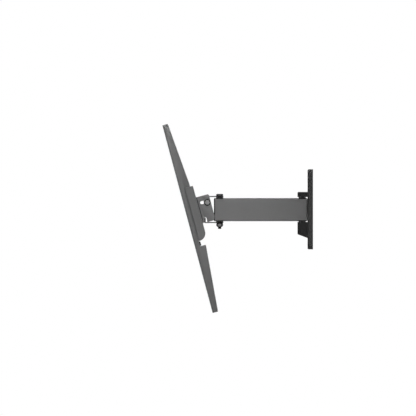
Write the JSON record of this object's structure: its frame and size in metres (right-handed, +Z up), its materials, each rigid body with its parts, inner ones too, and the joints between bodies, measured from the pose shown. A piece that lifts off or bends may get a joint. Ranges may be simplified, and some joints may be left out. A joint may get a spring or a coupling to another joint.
{
  "type": "full motion tv wall mount",
  "caption": "Full motion television wall mount: a swinging box arm on a covered wall plate carries a tilting crossbar with hooked, sliding screen rails.",
  "frame": {"origin": "middle of the wall plate's back face, on the wall", "axes": "+Z up, +Y into the wall, the arm reaches out towards -Y, +X along the crossbar"},
  "size_m": [0.44, 0.331, 0.4143],
  "materials": {
    "grey_steel": "fine satin powder coat, dark grey",
    "black_steel": "satin powder coat, black",
    "cover_plastic": "moulded plastic with a fine matt texture, black",
    "black_nylon": "smooth nylon, black",
    "black_fastener": "black zinc, semi-gloss"
  },
  "bodies": {
    "wall_bracket": {"wall_plate": "black_steel", "wall_plate_cover": "cover_plastic", "wall_pivot_bracket": "black_steel", "upper_ear_cover": "cover_plastic", "lower_ear_cover": "cover_plastic", "wall_pivot_bolt": "black_fastener", "wall_pivot_nut": "black_fastener", "wall_pivot_washer": "black_fastener"},
    "arm": {"arm_tube": "grey_steel", "wall_end_sleeve": "grey_steel", "head_end_sleeve": "grey_steel", "wall_end_bushings": "black_nylon", "head_end_bushings": "black_nylon"},
    "swivel_head": {"swivel_bracket": "grey_steel", "nose_bands": "black_nylon", "hinge_pads": "black_nylon", "head_pivot_bolt": "black_fastener", "head_pivot_nut": "black_fastener", "head_pivot_washer": "black_fastener", "tilt_lock_bolt": "black_fastener", "tilt_lock_nut": "black_fastener", "tilt_lock_washers": "black_fastener", "tilt_friction_washers": "black_nylon"},
    "tilt_plate": {"tilt_yoke": "grey_steel", "yoke_rivets": "grey_steel", "crossbar": "grey_steel", "hook_strip": "grey_steel", "left_end_cap": "grey_steel", "right_end_cap": "grey_steel"},
    "left_rail": {"left_rail": "grey_steel", "left_lock_block": "black_nylon", "left_lock_screw": "black_fastener"},
    "right_rail": {"right_rail": "grey_steel", "right_lock_block": "black_nylon", "right_lock_screw": "black_fastener"}
  },
  "joints": [
    {"name": "arm_swivel", "type": "hinge", "parent": "wall_bracket", "child": "arm", "pos_m": [0, -0.0235, 0], "axis": [0, 0, 1], "range_deg": [-90, 90]},
    {"name": "head_swivel", "type": "hinge", "parent": "arm", "child": "swivel_head", "pos_m": [0, -0.2053, 0], "axis": [0, 0, 1], "range_deg": [-60, 60]},
    {"name": "tilt", "type": "hinge", "parent": "swivel_head", "child": "tilt_plate", "pos_m": [0, -0.2376, -0.0169], "axis": [1, 0, 0], "range_deg": [-15, 0]},
    {"name": "left_rail_slide", "type": "slide", "parent": "tilt_plate", "child": "left_rail", "axis": [1, 0, 0], "range_m": [0, 0.1]},
    {"name": "right_rail_slide", "type": "slide", "parent": "tilt_plate", "child": "right_rail", "axis": [-1, 0, 0], "range_m": [0, 0.1]}
  ]
}
